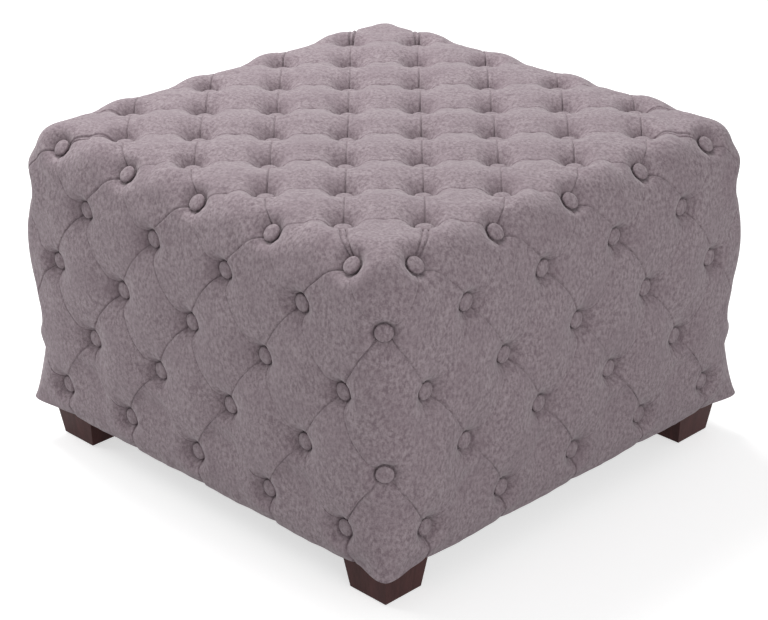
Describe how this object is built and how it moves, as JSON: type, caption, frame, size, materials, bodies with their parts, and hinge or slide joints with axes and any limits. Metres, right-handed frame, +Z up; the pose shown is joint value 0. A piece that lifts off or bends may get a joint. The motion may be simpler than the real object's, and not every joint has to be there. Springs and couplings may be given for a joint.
{
  "type": "ottoman coffee table",
  "caption": "Square deep-buttoned ottoman coffee table, diamond tufted on its top and sides, on tapered block feet.",
  "frame": {"origin": "on the floor, under the middle of the ottoman", "axes": "+Z up, front towards -Y, right towards +X; all four sides are alike"},
  "size_m": [0.698, 0.698, 0.4605],
  "materials": {
    "cover_fabric": "mauve-grey heathered woven polyester",
    "button_fabric": "buttons covered in the same woven fabric",
    "foam": "open-cell polyurethane foam",
    "plywood": "raw plywood",
    "frame_pine": "raw planed pine",
    "stained_foot": "hardwood, espresso stain under satin lacquer",
    "zinc_steel": "zinc plated",
    "glide_nylon": "black nylon",
    "dust_cloth": "black non-woven cloth"
  },
  "bodies": {
    "root": {"tufted_cover": "cover_fabric", "top_foam": "foam", "front_foam": "foam", "right_foam": "foam", "back_foam": "foam", "left_foam": "foam", "top_buttons": "button_fabric", "edge_buttons": "button_fabric", "corner_buttons": "button_fabric", "front_buttons": "button_fabric", "right_buttons": "button_fabric", "back_buttons": "button_fabric", "left_buttons": "button_fabric", "deck": "plywood", "front_panel": "plywood", "right_panel": "plywood", "back_panel": "plywood", "left_panel": "plywood", "front_rail": "frame_pine", "right_rail": "frame_pine", "back_rail": "frame_pine", "left_rail": "frame_pine", "front_batten": "frame_pine", "back_batten": "frame_pine", "dust_cloth": "dust_cloth", "front_left_post": "frame_pine", "front_left_foot_block": "frame_pine", "front_left_threaded_insert": "zinc_steel", "front_left_hanger_bolt": "zinc_steel", "front_left_foot": "stained_foot", "front_left_glide": "glide_nylon", "front_right_post": "frame_pine", "front_right_foot_block": "frame_pine", "front_right_threaded_insert": "zinc_steel", "front_right_hanger_bolt": "zinc_steel", "front_right_foot": "stained_foot", "front_right_glide": "glide_nylon", "back_right_post": "frame_pine", "back_right_foot_block": "frame_pine", "back_right_threaded_insert": "zinc_steel", "back_right_hanger_bolt": "zinc_steel", "back_right_foot": "stained_foot", "back_right_glide": "glide_nylon", "back_left_post": "frame_pine", "back_left_foot_block": "frame_pine", "back_left_threaded_insert": "zinc_steel", "back_left_hanger_bolt": "zinc_steel", "back_left_foot": "stained_foot", "back_left_glide": "glide_nylon"}
  },
  "joints": []
}
